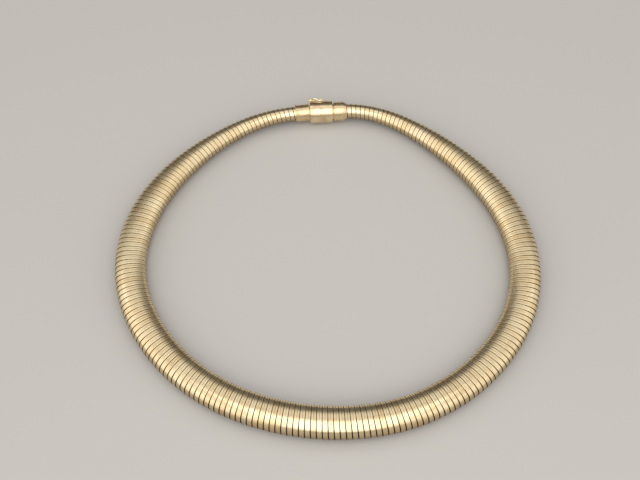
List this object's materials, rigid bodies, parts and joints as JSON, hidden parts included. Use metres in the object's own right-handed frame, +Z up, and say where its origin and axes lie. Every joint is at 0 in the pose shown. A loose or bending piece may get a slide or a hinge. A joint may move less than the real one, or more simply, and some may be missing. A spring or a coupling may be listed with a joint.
{
  "type": "tubogas choker necklace",
  "caption": "Closed loop of hollow tube wound from metal strip, wide at the front and tapering to a round barrel clasp with a small hinged safety catch.",
  "frame": {"origin": "Middle of the whole loop's box, on the surface that the choker lies on.", "axes": "+Z up out of the surface, the wide front of the loop towards -Y and the clasp towards +Y, the loop's width along X."},
  "size_m": [0.1374, 0.1268, 0.0079],
  "materials": {
    "wound_strip": "satin",
    "cap_metal": "satin",
    "barrel_metal": "satin",
    "clasp_metal": "polished"
  },
  "bodies": {
    "choker": {"wound_tube": "wound_strip", "end_cap_left": "cap_metal", "clasp_tongue": "clasp_metal", "clasp_barrel": "barrel_metal", "end_cap_right": "cap_metal"},
    "catch": {"safety_catch": "clasp_metal"}
  },
  "joints": [
    {"name": "catch_hinge", "type": "hinge", "parent": "choker", "child": "catch", "pos_m": [0.00092, 0.06237, 0.00711], "axis": [0, 0.7431, -0.6691], "range_deg": [0, 165]}
  ]
}
